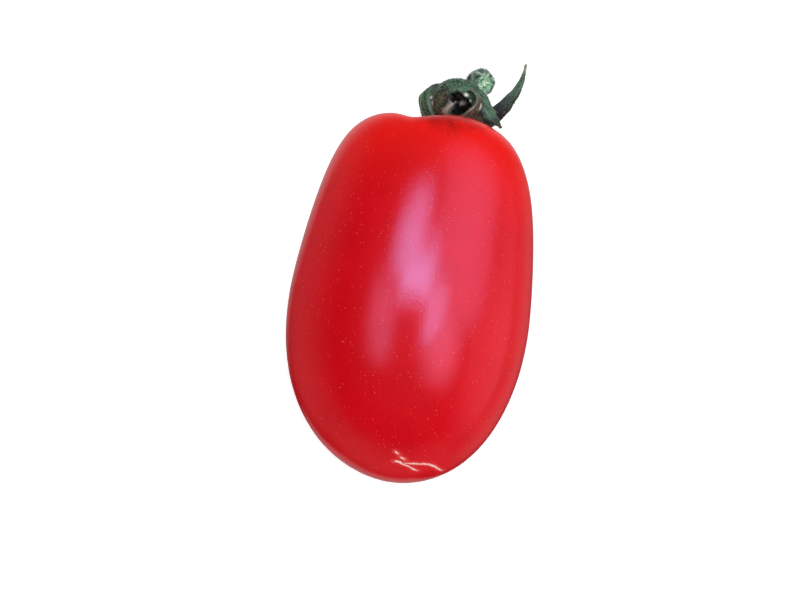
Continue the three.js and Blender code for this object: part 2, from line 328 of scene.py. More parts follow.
def ripeTomatoSkin():
    # Ripe tomato cuticle: a thin wax film over red flesh, so a broad soft gloss on deep red.
    material, tree = newMaterial("ripeTomatoSkin")
    place = addNode(tree, "ShaderNodeTexCoord").outputs["Object"]
    patches = addNode(tree, "ShaderNodeTexNoise", {
        "Vector": place, "Scale": 1 / (skin["mottle"] * mm), "Detail": 3.0})
    parts = addNode(tree, "ShaderNodeSeparateXYZ", {0: place})
    shoulder = addNode(tree, "ShaderNodeMapRange", {
        0: parts.outputs["Y"], 1: skin["warmFrom"] * mm, 2: skin["warmTo"] * mm, 3: 0.0, 4: 1.0},
        interpolation_type="SMOOTHSTEP")
    # Painted shadow and reflection of the calyx: the skin is painted a deeper red round it, in
    # ragged streaks.
    fromAbove = addNode(tree, "ShaderNodeCombineXYZ", {
        0: parts.outputs["X"], 1: parts.outputs["Y"]})
    fromCalyx = addNode(tree, "ShaderNodeVectorMath", {
        0: fromAbove.outputs[0], 1: [value * mm for value in skin["calyxShadowAt"]] + [0.0]},
        operation="DISTANCE")
    streaks = addNode(tree, "ShaderNodeTexNoise", {
        "Vector": place, "Scale": 1 / (skin["calyxShadowStreak"] * mm)})
    ragged = addNode(tree, "ShaderNodeMath", {
        0: streaks.outputs[0], 1: skin["calyxShadowRagged"] * mm, 2: fromCalyx.outputs["Value"]},
        operation="MULTIPLY_ADD")
    calyxShadowShare = addNode(tree, "ShaderNodeMapRange", {
        0: ragged.outputs[0], 1: skin["calyxShadowFrom"] * mm, 2: skin["calyxShadowTo"] * mm, 3: 0.0,
        4: skin["calyxShadowShare"]}, interpolation_type="SMOOTHSTEP")
    cells = addNode(tree, "ShaderNodeTexVoronoi", {
        "Vector": place, "Scale": 1 / (skin["fleckPitch"] * mm)})
    near = addNode(tree, "ShaderNodeMapRange", {
        0: cells.outputs["Distance"], 1: skin["fleckSize"], 2: skin["fleckSize"] * 0.4, 3: 0.0,
        4: 1.0})
    chosen = addNode(tree, "ShaderNodeSeparateColor", {0: cells.outputs["Color"]})
    lucky = addNode(tree, "ShaderNodeMath", {0: chosen.outputs[0], 1: skin["fleckShare"]},
                    operation="LESS_THAN")
    strength = addNode(tree, "ShaderNodeMath", {0: near.outputs[0], 1: lucky.outputs[0]},
                       operation="MULTIPLY")
    gold = addNode(tree, "ShaderNodeMath", {0: chosen.outputs[1], 1: skin["fleckPower"]},
                   operation="POWER")
    varied = addNode(tree, "ShaderNodeMath", {0: strength.outputs[0], 1: gold.outputs[0]},
                     operation="MULTIPLY")
    scarPale = addNode(tree, "ShaderNodeAttribute", attribute_name="nearScar")
    colour = srgb(skin["deep"])
    for share, over in ((patches.outputs[0], "body"), (shoulder.outputs[0], "warm"),
                        (calyxShadowShare.outputs[0], "calyxShadow"), (varied.outputs[0], "fleck"),
                        (scarPale.outputs["Fac"], "scarSide")):
        colour = addNode(tree, "ShaderNodeMix", {
            "Factor": share, 6: colour, 7: srgb(skin[over])}, data_type="RGBA").outputs[2]
    pores = addNode(tree, "ShaderNodeTexNoise", {
        "Vector": place, "Scale": 1 / (skin["porePitch"] * mm), "Detail": 2.0})
    grain = addNode(tree, "ShaderNodeBump", {
        "Height": pores.outputs[0], "Strength": 0.6, "Distance": skin["poreDepth"] * mm})
    surface = addNode(tree, "ShaderNodeBsdfPrincipled", {
        "Base Color": colour, "Roughness": 0.17, "IOR": 1.45,
        "Normal": grain.outputs[0], "Subsurface Weight": 0.12, "Subsurface Radius": (1.0, 0.2, 0.1),
        "Subsurface Scale": 2 * mm})
    addNode(tree, "ShaderNodeOutputMaterial", {0: surface.outputs[0]})
    return material


print("fruit")
blank = bpy.data.objects.new("blank", bpy.data.meshes.new("blank"))
bpy.context.collection.objects.link(blank)
fruitSkin = ripeTomatoSkin()
fruitPiece = bakedByNodes(blank, "fruitFlesh", fruitTree(fruitSkin), fruit["sizes"])
fruitSurface = surfaceOf(fruitPiece)


# Camera at the photograph's angle. Small marks are placed by where the photograph shows them.

camera = {
    "azimuth": 8,
    "elevation": 75,
    "lens": 70,
    "sensor": 36,
    "distance": 311,  # mm from the lens to the fruit's middle
    "pictureWidth": 800,
    "pictureHeight": 600,
    "fruitX": 409,  # the pixel where the fruit's middle stands, from the left and the top
    "fruitY": 311,
}
perPixel = camera["sensor"] / (camera["lens"] * camera["pictureWidth"])


def cameraMatrix():
    turn, tilt = math.radians(camera["azimuth"]), math.radians(camera["elevation"])
    back = Vector((math.sin(turn) * math.cos(tilt), -math.cos(turn) * math.cos(tilt),
                   math.sin(tilt)))
    right = Vector((math.cos(turn), math.sin(turn), 0))
    up = back.cross(right)
    aside = (camera["pictureWidth"] / 2 - camera["fruitX"]) * perPixel
    above = (camera["fruitY"] - camera["pictureHeight"] / 2) * perPixel
    middle = Vector((0, -fruit["sizes"]["Rest along"], fruit["sizes"]["Rest height"]))
    place = middle + (back + right * aside + up * above) * camera["distance"]
    return Matrix.Translation(place * mm) @ Matrix((right, up, back)).transposed().to_4x4()


def seenAt(surface, x, y):
    # The point of a surface that the photograph shows at pixel x, y.
    matrix = cameraMatrix()
    ray = Vector(((x - camera["pictureWidth"] / 2) * perPixel,
                  (camera["pictureHeight"] / 2 - y) * perPixel, -1))
    return surface.ray_cast(matrix.translation, (matrix.to_3x3() @ ray).normalized())[0]


# Blossom scar: a dry corky crack where the flower stood

scar = {
    # The crack's branches, read from the photograph: pixel x, pixel y, width in mm.
    "branches": {
        "upper": [(395, 451.3, 0.3), (397, 452.8, 0.5), (399, 454.2, 0.3)],
        "middle": [(400.3, 456.8, 0.25), (403, 458.5, 0.42), (405.5, 459.6, 0.25)],
        "lower": [(393.6, 461.4, 0.6), (396, 461.3, 0.8), (398.8, 461.8, 0.6),
                  (401, 463, 0.45), (403.5, 464.2, 0.3), (406.5, 465.3, 0.32),
                  (409, 466.5, 0.2), (412, 468.2, 0.3), (414.5, 469.6, 0.5), (417.5, 470.6, 0.3)],
        "long": [(402, 462.4, 0.2), (406, 463.3, 0.32), (410, 463.4, 0.36), (415, 463.5, 0.4),
                 (420, 463.9, 0.52), (425, 463.7, 0.36), (430, 464.8, 0.42), (434, 466, 0.4),
                 (437, 468, 0.36), (440, 469.6, 0.28), (443, 470.8, 0.2)],
    },
    "height": 0.16,  # mm
    "stepLength": 0.12,  # mm
    "sides": 10,
    "drift": 0.12,  # mm that the crack wanders
    "halo": 0.9,  # mm of paler skin beside it
    "haloPower": 1.5,
    "crumb": 0.5,  # mm
}


def corkyScar():
    # Wound cork: dry, pale, matt and broken, pinker where it is thin.
    material, tree = newMaterial("blossomScarCork")
    place = addNode(tree, "ShaderNodeTexCoord").outputs["Object"]
    crumbs = addNode(tree, "ShaderNodeTexNoise", {
        "Vector": place, "Scale": 1 / (scar["crumb"] * mm), "Detail": 4.0, "Roughness": 0.65})
    colour = rampStops(addNode(tree, "ShaderNodeValToRGB", {0: crumbs.outputs[0]}), [
        (0.3, srgb("#c8605c")), (0.48, srgb("#e8b0a8")), (0.66, srgb("#f6dcd4"))])
    grain = addNode(tree, "ShaderNodeBump", {
        "Height": crumbs.outputs[0], "Strength": 0.6, "Distance": 0.08 * mm})
    surface = addNode(tree, "ShaderNodeBsdfPrincipled", {
        "Base Color": colour.outputs[0], "Roughness": 0.7, "IOR": 1.45,
        "Normal": grain.outputs[0]})
    addNode(tree, "ShaderNodeOutputMaterial", {0: surface.outputs[0]})
    return material


def smoothPath(corners, count):
    # A centripetal Catmull-Rom curve through the corners, at equal steps along its length.
    p = [np.array(c, dtype=float) for c in corners]
    p = [2 * p[0] - p[1]] + p + [2 * p[-1] - p[-2]]
    fine = []
    for a, b, c, d in zip(p, p[1:], p[2:], p[3:]):
        ab, bc, cd = (max(np.linalg.norm(v) ** 0.5, 1e-4) for v in (b - a, c - b, d - c))
        start = ((b - a) / ab - (c - a) / (ab + bc) + (c - b) / bc) * bc
        end = ((c - b) / bc - (d - b) / (bc + cd) + (d - c) / cd) * bc
        for t in np.linspace(0, 1, 24, endpoint=False):
            fine.append(b + start * t + (3 * (c - b) - 2 * start - end) * t * t
                        + (2 * (b - c) + start + end) * t ** 3)
    fine = np.array(fine + [p[-2]])
    run = np.concatenate([[0], np.cumsum(np.linalg.norm(np.diff(fine, axis=0), axis=1))])
    return np.array([[np.interp(s, run, fine[:, k]) for k in range(fine.shape[1])]
                     for s in np.linspace(0, run[-1], count)]), run[-1]


def blossomScar(material):
    points, faces, ridge = [], [], []
    sides = scar["sides"]
    for number, branch in enumerate(scar["branches"].values()):
        corners = [(*seenAt(fruitSurface, x, y), width * mm) for x, y, width in branch]
        length = smoothPath(corners, 2)[1]
        count = max(int(length / (scar["stepLength"] * mm)), 6)
        path = smoothPath(corners, count + 1)[0]
        ridge += [Vector(c[:3]) for c in path]
        faces += tubeFaces(len(points), count, sides)
        for i, centre in enumerate(path):
            spot, normal = fruitSurface.find_nearest(Vector(centre[:3]))[:2]
            onward = Vector((path[min(i + 1, count)] - path[max(i - 1, 0)])[:3]).normalized()
            across = normal.cross(onward).normalized()
            lump = noise.noise(Vector((i * 0.33, number * 7.1, 0)))
            fade = max(math.sin(math.pi * (i + 0.4) / (count + 0.8)), 0.05) ** 0.4
            half = centre[3] / 2 * fade * (1 + 0.8 * lump)
            tall = scar["height"] * fade * (1 + 0.5 * lump) * mm
            wander = scar["drift"] * noise.noise(Vector((i * 0.5, 3.3, number))) * mm
            for k in range(sides):
                turn = 2 * math.pi * k / sides
                sunk = 1 if turn < math.pi else 0.6
                points.append(spot + across * (wander + half * math.cos(turn))
                              + normal * (tall * math.sin(turn) * sunk))
    return meshObject("blossomScar", points, faces, material), ridge


def scarHalo(ridge):
    # How near each point of the skin is to the crack, from 1 on it to 0 past the halo.
    ridgePoints = np.array([tuple(p) for p in ridge])
    skinPoints = np.array([tuple(v.co) for v in fruitPiece.data.vertices])
    reach = scar["halo"] * mm
    near = skinPoints[:, 1] < ridgePoints[:, 1].max() + reach
    steps = skinPoints[near][:, None, :] - ridgePoints[None, :, :]
    gaps = np.linalg.norm(steps, axis=2).min(axis=1)
    halo = np.zeros(len(skinPoints))
    halo[near] = np.clip(1 - gaps / reach, 0, 1) ** scar["haloPower"]
    return halo


print("blossom scar")
scarPiece, scarRidge = blossomScar(corkyScar())
pointAttribute(fruitPiece.data, "nearScar", scarHalo(scarRidge))


# Calyx: five curled sepals on a small green disc, in a frame at the stem hollow's floor

calyx = {
    "steps": 88,
    "columns": 40,
    "middleThickness": 0.62,  # mm, as all sizes here
    "edgeThickness": 0.24,
    "discRadius": 3.3,
    "discHeight": 1.5,
    "ribHeight": 0.16,
    "ribWidth": 0.09,  # share of the half width
    "creaseHeight": 0.32,
    "creaseLength": 2.4,
    "fineHeight": 0.1,
    "fineLength": 0.9,
    "waveLength": 3.6,
    "veinLength": 9.0,
    # Painted white glints, read from the photograph: pixel x and y, and radius in mm.
    "paintedLight": [((465.8, 95), 0.42), ((480.8, 106.7), 0.42), ((432.5, 103.3), 0.36),
             ((431.5, 97.5), 0.3), ((446.7, 112.5), 0.2), ((470, 101), 0.22),
             ((475, 103.5), 0.2), ((462, 103), 0.5), ((455.5, 102.5), 0.3)],
    # path: the middle line, base to tip. face: where the outer side looks at the base, halfway
    # and at the tip. roll: how far the edges turn in, in radians, at the base and at the tip.
    # dryFrom, darkTip and brown: shares of the length; darkTip and darkBase mark painted shade at
    # the tip and the base. A fullness of 0 keeps the tip wide open.
    "sepals": {
        "left": {
            "path": [(-1.0, 1.1, 0.2), (-3.2, 2.6, 0.9), (-5.1, 5.0, 1.3), (-6.8, 8.0, 1.4),
                     (-6.5, 10.6, 1.0), (-4.7, 12.2, 0.4), (-2.6, 12.0, -0.4)],
            "face": [(-0.3, -1, 0.3), (-0.7, 0.2, 1), (0.2, 0.8, 0.8)],
            "width": 6.2, "fullness": 2.8, "roll": (0.5, 0.9), "dryFrom": 0.85,
            "darkTip": (0.8, 0.74), "brown": (0.2, 0.6), "wave": 0.12, "streak": 0.6,
        },
        "front": {
            "path": [(0.4, 1.1, 0.7), (1.5, 1.8, 2.2), (1.8, 2.3, 4.0), (1.1, 2.7, 5.8),
                     (-0.1, 3.0, 7.6)],
            "face": [(0.2, -0.8, 0.8), (0.2, -1, 0.2), (0, -1, 0)],
            "width": 25, "fullness": 0, "roll": (3.02, 3.02), "squash": 0.8,
            "curl": (0.5, 0.14), "fold": 0.55, "frayed": 0.8,
            "dryFrom": 0.97, "brown": (1.4, 2.0), "wave": 0.2, "streak": 0.3,
        },
        "arch": {
            "path": [(-1.0, 1.1, -0.4), (-3.4, 4.0, 0.6), (-4.8, 6.3, 2.8), (-4.8, 8.2, 4.6),
                     (-3.4, 10.2, 5.6), (-1.2, 11.2, 6.0), (1.2, 10.8, 6.2), (3.4, 9.2, 6.2),
                     (5.2, 7.3, 5.9), (6.8, 5.4, 5.4), (8.8, 3.4, 4.5)],
            "face": [(-0.9, -0.3, 0.4), (-0.1, 0.8, 0.8), (0.7, 0.5, 0.7)],
            "width": 6.4, "fullness": 12, "roll": (0.5, 0.6), "dryFrom": 0.98,
            "darkTip": (0.6, 0.88), "brown": (1.0, 0.5), "wave": 0.16, "frayed": 0.9,
            "streak": 0.2,
        },
        "right": {
            "path": [(1.0, 1.1, -0.3), (4.2, 3.5, -0.7), (7.0, 6.5, -0.9), (9.4, 9.7, -0.9),
                     (11.3, 12.9, -1.0), (12.3, 16.3, -1.2), (12.6, 20.2, -1.4)],
            "face": [(0.2, -1, 0.2), (0.6, -0.5, 0.9), (0.9, -0.1, 0.5)],
            "width": 5.2, "fullness": 1.7, "roll": (0.7, 0.9), "dryFrom": 0.87,
            "brown": (0.3, 0.4), "wave": 0.14, "darkBase": 0.97, "streak": 0.2,
        },
        "back": {
            "path": [(0.0, 1.1, -1.0), (0.2, 2.4, -4.0), (0.6, 4.4, -6.4), (1.2, 7.4, -7.6),
                     (2.0, 10.2, -6.8), (2.6, 11.8, -5.0)],
            "face": [(0, -1, -0.3), (0.2, -0.2, -1), (0.3, 1, -0.3)],
            "width": 8.5, "fullness": 2.4, "roll": (0.5, 0.9), "dryFrom": 0.75,
            "brown": (0.3, 0.6), "wave": 0.3, "streak": 0.4,
        },
    },
}


sepalLook = {
    "green": "#3f6a4a",
    "darkGreen": "#0f1a12",
    "vein": "#7d9a78",
    "paleGlandGlint": "#93b49c",
    # Painted shade: near-black brown laid where the calyx lies in shade.
    "paintedShadeColour": "#1c170e",
    # Painted glints: near white, laid where the calyx shines.
    "paintedLight": "#f4efe8",
    "patchPitch": 1.6,  # mm, as all sizes here
    "glandPitch": 0.37,
    "gritPitch": 0.7,
    "wrinkleDepth": 0.15,
    "glandDepth": 0.05,
}


def wiltedSepal():
    # Wilted tomato sepal: leathery, veined, set with glandular hairs that glint, and brown and
    # papery where it has dried.
    material, tree = newMaterial("wiltedSepalGreen")
    place = addNode(tree, "ShaderNodeTexCoord").outputs["Object"]
    dry, brown, inner, paintedLight, streak = (
        addNode(tree, "ShaderNodeAttribute", attribute_name=name).outputs["Fac"]
        for name in ("dry", "brown", "inner", "paintedLight", "streak"))
    patches = addNode(tree, "ShaderNodeTexNoise", {
        "Vector": place, "Scale": 1 / (sepalLook["patchPitch"] * mm), "Detail": 5.0,
        "Roughness": 0.6})
    leaf = rampStops(addNode(tree, "ShaderNodeValToRGB", {0: patches.outputs[0]}), [
        (0.38, srgb(sepalLook["darkGreen"])), (0.6, srgb(sepalLook["green"]))])
    olive = rampStops(addNode(tree, "ShaderNodeValToRGB", {0: patches.outputs[0]}), [
        (0.32, srgb("#34140b")), (0.5, srgb("#54291a")), (0.68, srgb("#65603c"))])
    papery = rampStops(addNode(tree, "ShaderNodeValToRGB", {0: patches.outputs[0]}), [
        (0.32, srgb("#62574b")), (0.5, srgb("#877b6c")), (0.68, srgb("#aca294"))])
    glands = addNode(tree, "ShaderNodeTexVoronoi", {
        "Vector": place, "Scale": 1 / (sepalLook["glandPitch"] * mm)})
    # Pale gland dots: real pale glands, with painted glints of the hair tips laid over them.
    speck = addNode(tree, "ShaderNodeMapRange", {
        0: glands.outputs["Distance"], 1: 0.34, 2: 0.1, 3: 0.0, 4: 0.7})
    # Near the end, painted shade darkens the colour towards near-black brown.
    colour = leaf.outputs[0]
    for share, over in ((streak, srgb(sepalLook["vein"])), (brown, olive.outputs[0]),
                        (dry, papery.outputs[0]), (speck.outputs[0], srgb(sepalLook["paleGlandGlint"])),
                        (inner, srgb(sepalLook["paintedShadeColour"])), (paintedLight, srgb(sepalLook["paintedLight"]))):
        colour = addNode(tree, "ShaderNodeMix", {
            "Factor": share, 6: colour, 7: over}, data_type="RGBA").outputs[2]
    grit = addNode(tree, "ShaderNodeTexNoise", {
        "Vector": place, "Scale": 1 / (sepalLook["gritPitch"] * mm), "Detail": 3.0})
    rough = addNode(tree, "ShaderNodeMapRange", {
        0: grit.outputs[0], 1: 0.36, 2: 0.5, 3: 0.1, 4: 0.62})
    wrinkles = addNode(tree, "ShaderNodeBump", {
        "Height": patches.outputs[0], "Strength": 0.7,
        "Distance": sepalLook["wrinkleDepth"] * mm})
    bumps = addNode(tree, "ShaderNodeBump", {
        "Height": speck.outputs[0], "Strength": 0.6,
        "Distance": sepalLook["glandDepth"] * mm, "Normal": wrinkles.outputs[0]})
    surface = addNode(tree, "ShaderNodeBsdfPrincipled", {
        "Base Color": colour, "Roughness": rough.outputs[0], "IOR": 1.45,
        "Specular IOR Level": 0.18, "Normal": bumps.outputs[0]})
    addNode(tree, "ShaderNodeOutputMaterial", {0: surface.outputs[0]})
    return material


def unit(vector):
    return vector / max(np.linalg.norm(vector), 1e-9)


def bladeShare(t, fullness):
    if not fullness:
        return 0.34 + 0.66 * math.sin(math.pi * 0.5 * min(t * 1.15, 1))
    shoulder = 0.62 + 0.38 * math.sin(math.pi * min(t / 0.56, 1) * 0.5)
    return max(shoulder * (1 - t ** fullness) ** 0.9, 0.05)


def clamped(value):
    return min(max(value, 0), 1)


def sepalBlade(sepal, seed, points, faces, tints):
    # A rolled blade, ring after ring from base to tip. Each ring runs over the outer side, where
    # side is 1, and back over the inner side. t is the share of the length and w of half the width.
    steps, columns = calyx["steps"], calyx["columns"]
    path, length = smoothPath(sepal["path"], steps + 1)
    looks = [np.array(v, dtype=float) for v in sepal["face"]]
    first = len(points)
    perRing = 2 * (columns + 1)
    waveTurn, veinTurn = 2 * math.pi / calyx["waveLength"], length / calyx["veinLength"]
    moreTurn, shrink = sepal.get("curl", (0, 0))
    darkness, darkFrom = sepal.get("darkTip", (0, 1))
    atBase, fadeBy = sepal["brown"]
    for i, centre in enumerate(path):
        t = i / steps
        onward = unit(path[min(i + 1, steps)] - path[max(i - 1, 0)])
        half = min(int(t * 2), 1)
        outer = looks[half] + (looks[half + 1] - looks[half]) * (t * 2 - half)
        outer = unit(outer - onward * outer.dot(onward))
        across = np.cross(onward, outer)
        size = sepal["width"] / 2 * bladeShare(t, sepal["fullness"])
        roll = sepal["roll"][0] + (sepal["roll"][1] - sepal["roll"][0]) * t
        radius = size / roll
        squash = sepal.get("squash", 1)
        # Painted shade at the base (darkBase) and at the tip (darkTip).
        shadow = min(sepal.get("darkBase", 0) * max(1.4 - (t / 0.7) ** 2, 0), 0.97)
        darkTip = darkness * clamped((t - darkFrom) / 0.06)
        for side in (1, -1):
            for k in range(columns + 1):
                w = (2 * k / columns - 1) * side
                thick = calyx["middleThickness"] + (
                    calyx["edgeThickness"] - calyx["middleThickness"]) * w * w
                edge = abs(w) ** 3
                crease = noise.noise(Vector((w * 2.2, t * length / calyx["creaseLength"], seed)))
                fine = noise.noise(Vector((w * 6, t * length / calyx["fineLength"], seed + 5)))
                vein = noise.noise(Vector((w * 5.5, t * veinTurn, seed + 2)))
                rib = calyx["ribHeight"] * math.exp(-(w / calyx["ribWidth"]) ** 2)
                rib += 0.05 * math.cos(w * 15)
                wave = sepal["wave"] * edge * math.sin(
                    waveTurn * t * length + 2 * math.pi * (seed * 0.37 + w * 0.2))
                lift = rib + calyx["creaseHeight"] * crease * (0.3 + edge)
                lift = (lift + calyx["fineHeight"] * fine) * min(t * 4, 1) + wave
                ragged = 0.0
                if "frayed" in sepal:
                    ragged = sepal["frayed"] * noise.noise(Vector((w * 3.1, 8.2, seed))) * t ** 5
                tuck = max((w - 0.4) / 0.6, 0)
                turn = roll * w + moreTurn * tuck
                lip = math.exp(-((w + 0.5) / 0.16) ** 2) * clamped((t - 0.6) / 0.36)
                folding = sepal.get("fold", 0) * lip if side < 0 else 0
                folded = min(3 * folding, 1)
                bow = radius * (1 - shrink * tuck - folding)
                off = side * thick / 2 + lift * min(size / 1.5, 1)
                points.append(centre + onward * ragged + across * ((bow + off) * math.sin(turn))
                              + outer * (squash * (bow * math.cos(turn) - radius)
                                         + off * math.cos(turn)))
                dryness = (t - sepal["dryFrom"]) / (1 - sepal["dryFrom"]) + 0.2 * (abs(w) > 0.9)
                # Painted shade: the inside of the open roll is near black, save a lit strip and the
                # folded lip; the other sepals' inner sides are a little darker, and the outer side
                # darker towards its edges.
                shadeInside = 0.35
                if not sepal["fullness"]:
                    lit = max(0.85 * math.exp(-((w - 0.24) / 0.12) ** 2), folded)
                    shadeInside = 0.97 * (1 - lit)
                edgeShade = 0.6 * clamped((abs(w) - 0.82) / 0.14)
                tints["dry"].append(clamped(max(dryness + 0.5 * crease, folded)))
                tints["brown"].append(clamped(atBase * (1 - t / fadeBy) + 0.7 * crease))
                tints["streak"].append(clamped(sepal["streak"] * (0.4 + 2.2 * vein)))
                tints["inner"].append(max(shadeInside if side < 0 else edgeShade, shadow, darkTip))
                # Painted light: the folded lip is painted paler than its dry colour.
                tints["paintedLight"].append(0.35 * folded)
    for i in range(steps):
        for k in range(perRing):
            a = first + i * perRing + k
            b = first + i * perRing + (k + 1) % perRing
            faces.append((b, a, a + perRing, b + perRing))
    last = first + steps * perRing
    for k in range(columns):
        faces.append((first + k, first + k + 1, first + perRing - 2 - k, first + perRing - 1 - k))
        faces.append((last + k + 1, last + k, last + perRing - 1 - k, last + perRing - 2 - k))


def calyxDisc(points, faces, tints):
    # A low five-lobed disc that all the sepals run into.
    around, rows = 60, 10
    faces += tubeFaces(len(points), rows, around)
    for i in range(rows + 1):
        share = i / rows
        for k in range(around):
            turn = 2 * math.pi * k / around
            lobed = 1 + 0.12 * math.cos(5 * turn + 0.6)
            r = calyx["discRadius"] * lobed * (0.35 + 0.65 * math.sin(math.pi * share) ** 0.5)
            points.append(np.array([r * math.cos(turn), 0.35 + share * calyx["discHeight"],
                                    r * math.sin(turn)]))
    for tint, share in (("dry", 0.15), ("brown", 0.3), ("streak", 0), ("inner", 0), ("paintedLight", 0)):
        tints[tint] += [share] * (around * (rows + 1))


# Painted glints: a near-white spot round each point that the listed pixels show.
def withGlintSpots(piece, shares):
    surface = surfaceOf(piece)
    places = np.array([tuple(v.co) for v in piece.data.vertices])
    for pixel, radius in calyx["paintedLight"]:
        gaps = np.linalg.norm(places - np.array(seenAt(surface, *pixel)), axis=1)
        shares = np.maximum(shares, 1.5 - gaps / (radius * mm))
    return np.minimum(shares, 1)


def outwardFaces(piece):
    shell = bmesh.new()
    shell.from_mesh(piece.data)
    bmesh.ops.recalc_face_normals(shell, faces=shell.faces)
    shell.to_mesh(piece.data)
    shell.free()


# The stem hollow's floor, where the calyx frame has its origin.
hollowSpot = fruitSurface.ray_cast(
    Vector((fruit["sizes"]["Hollow sideways"] * mm, 0.1,
            (fruit["sizes"]["Rest height"] + fruit["sizes"]["Hollow upward"]) * mm)),
    Vector((0, -1, 0)))[0]


def inPart(localPoints):
    return [Vector((p[0] * mm, p[1] * mm, p[2] * mm)) + hollowSpot for p in localPoints]


print("calyx")
calyxPoints, calyxFaces = [], []
calyxTints = {"dry": [], "brown": [], "streak": [], "inner": [], "paintedLight": []}
for number, sepal in enumerate(calyx["sepals"].values()):
    sepalBlade(sepal, 2.7 * number + 1.3, calyxPoints, calyxFaces, calyxTints)
calyxDisc(calyxPoints, calyxFaces, calyxTints)
calyxPiece = meshObject("calyxSepals", inPart(calyxPoints), calyxFaces, wiltedSepal())
calyxTints["paintedLight"] = withGlintSpots(calyxPiece, calyxTints["paintedLight"])
for tint, shares in calyxTints.items():
    pointAttribute(calyxPiece.data, tint, shares)
outwardFaces(calyxPiece)


# Stem stub: broken off at its knuckle

# Sizes in mm, unless they are a share.
stem = {
    "path": [(0.1, 2.1, -0.3), (0.3, 6.0, -1.0), (1.2, 10.4, -1.5), (3.1, 14.8, -0.5),
             (4.8, 13.1, 2.4)],
    "radius": 1.65,
    "knuckleRadius": 2.4,
    "sides": 72,
    "steps": 90,
    "endRings": 14,
    "endDip": 1.1,
    "swellAt": 0.86,  # share of the length
    "swellSpread": 0.22,
    "baseFlare": 0.35,
    "ribHeight": 0.05,  # share of the radius, like the lumps
    "lumpHeight": 0.09,
    "brokenEdge": 0.35,
    "patchPitch": 1.1,
    "barkDepth": 0.15,
}


def hairyStem():
    # Fresh tomato stem: ribbed, downy green, with a pale wet break at the knuckle.
    material, tree = newMaterial("tomatoStemGreen")
    place = addNode(tree, "ShaderNodeTexCoord").outputs["Object"]
    cut = addNode(tree, "ShaderNodeAttribute", attribute_name="cut")
    patches = addNode(tree, "ShaderNodeTexNoise", {
        "Vector": place, "Scale": 1 / (stem["patchPitch"] * mm), "Detail": 5.0,
        "Roughness": 0.65})
    # The bark is mottled dark and pale green; its near-white patches paint glints as well as pale
    # down.
    barkWithGlints = rampStops(addNode(tree, "ShaderNodeValToRGB", {0: patches.outputs[0]}), [
        (0.38, srgb("#22382a")), (0.52, srgb("#4f7058")), (0.64, srgb("#c0d0c2"))])
    pith = rampStops(addNode(tree, "ShaderNodeValToRGB", {0: patches.outputs[0]}), [
        (0.3, srgb("#4c8a52")), (0.5, srgb("#9ed6a6")), (0.66, srgb("#e2f6e2"))])
    colour = addNode(tree, "ShaderNodeMix", {
        "Factor": cut.outputs["Fac"], 6: barkWithGlints.outputs[0], 7: pith.outputs[0]},
        data_type="RGBA")
    lumps = addNode(tree, "ShaderNodeBump", {
        "Height": patches.outputs[0], "Strength": 0.8, "Distance": stem["barkDepth"] * mm})
    surface = addNode(tree, "ShaderNodeBsdfPrincipled", {
        "Base Color": colour.outputs[2], "Roughness": 0.42, "IOR": 1.45,
        "Normal": lumps.outputs[0]})
    addNode(tree, "ShaderNodeOutputMaterial", {0: surface.outputs[0]})
    return material


def stemStub(material):
    # A tube along the path, whose last rings draw in over the broken face.
    sides, steps = stem["sides"], stem["steps"]
    path = smoothPath(stem["path"], steps + 1)[0]
    points, cut = [], []
    across = np.array([1.0, 0, 0])
    rings = steps + stem["endRings"]
    for i in range(rings + 1):
        inward = max(i - steps, 0) / (stem["endRings"] + 0.5)
        row = min(i, steps)
        t = row / steps
        onward = unit(path[min(row + 1, steps)] - path[max(row - 1, 0)])
        across = unit(across - onward * across.dot(onward))
        upward = np.cross(onward, across)
        swell = math.exp(-((t - stem["swellAt"]) / stem["swellSpread"]) ** 2)
        radius = stem["radius"] + stem["baseFlare"] * math.exp(-(t / 0.12) ** 2)
        radius += (stem["knuckleRadius"] - stem["radius"]) * swell
        dip = stem["endDip"] * (1 - (1 - inward) ** 2)
        for k in range(sides):
            turn = 2 * math.pi * k / sides
            lump = noise.noise(Vector((math.cos(turn) * 1.6, math.sin(turn) * 1.6, t * 7)))
            ribbed = 1 + stem["ribHeight"] * math.cos(5 * turn + 0.4) + stem["lumpHeight"] * lump
            r = radius * ribbed * (1 - inward)
            rough = noise.noise(Vector((r * math.cos(turn) * 2.1, r * math.sin(turn) * 2.1, 4.4)))
            lip = stem["brokenEdge"] * rough * (t > 0.97) + 0.3 * rough * (inward > 0)
            centre = path[row] - onward * (dip - lip)
            points.append(centre + across * (r * math.cos(turn)) + upward * (r * math.sin(turn)))
            cut.append(clamped((inward - 0.08) / 0.22))
    piece = meshObject("stemKnuckle", inPart(points), tubeFaces(0, rings, sides), material)
    pointAttribute(piece.data, "cut", cut)
    outwardFaces(piece)
    return piece


print("stem stub")
stemPiece = stemStub(hairyStem())


# Hairs on calyx and stem

hairs = {
    "sizes": {"Density": 9.0e6, "Length": 0.55 * mm, "Thickness": 0.028 * mm},
    "seed": 7,
    "lean": 0.6,  # radians, like the turn
    "turn": 6.28,
    "scale": (0.4, 1.3),
}


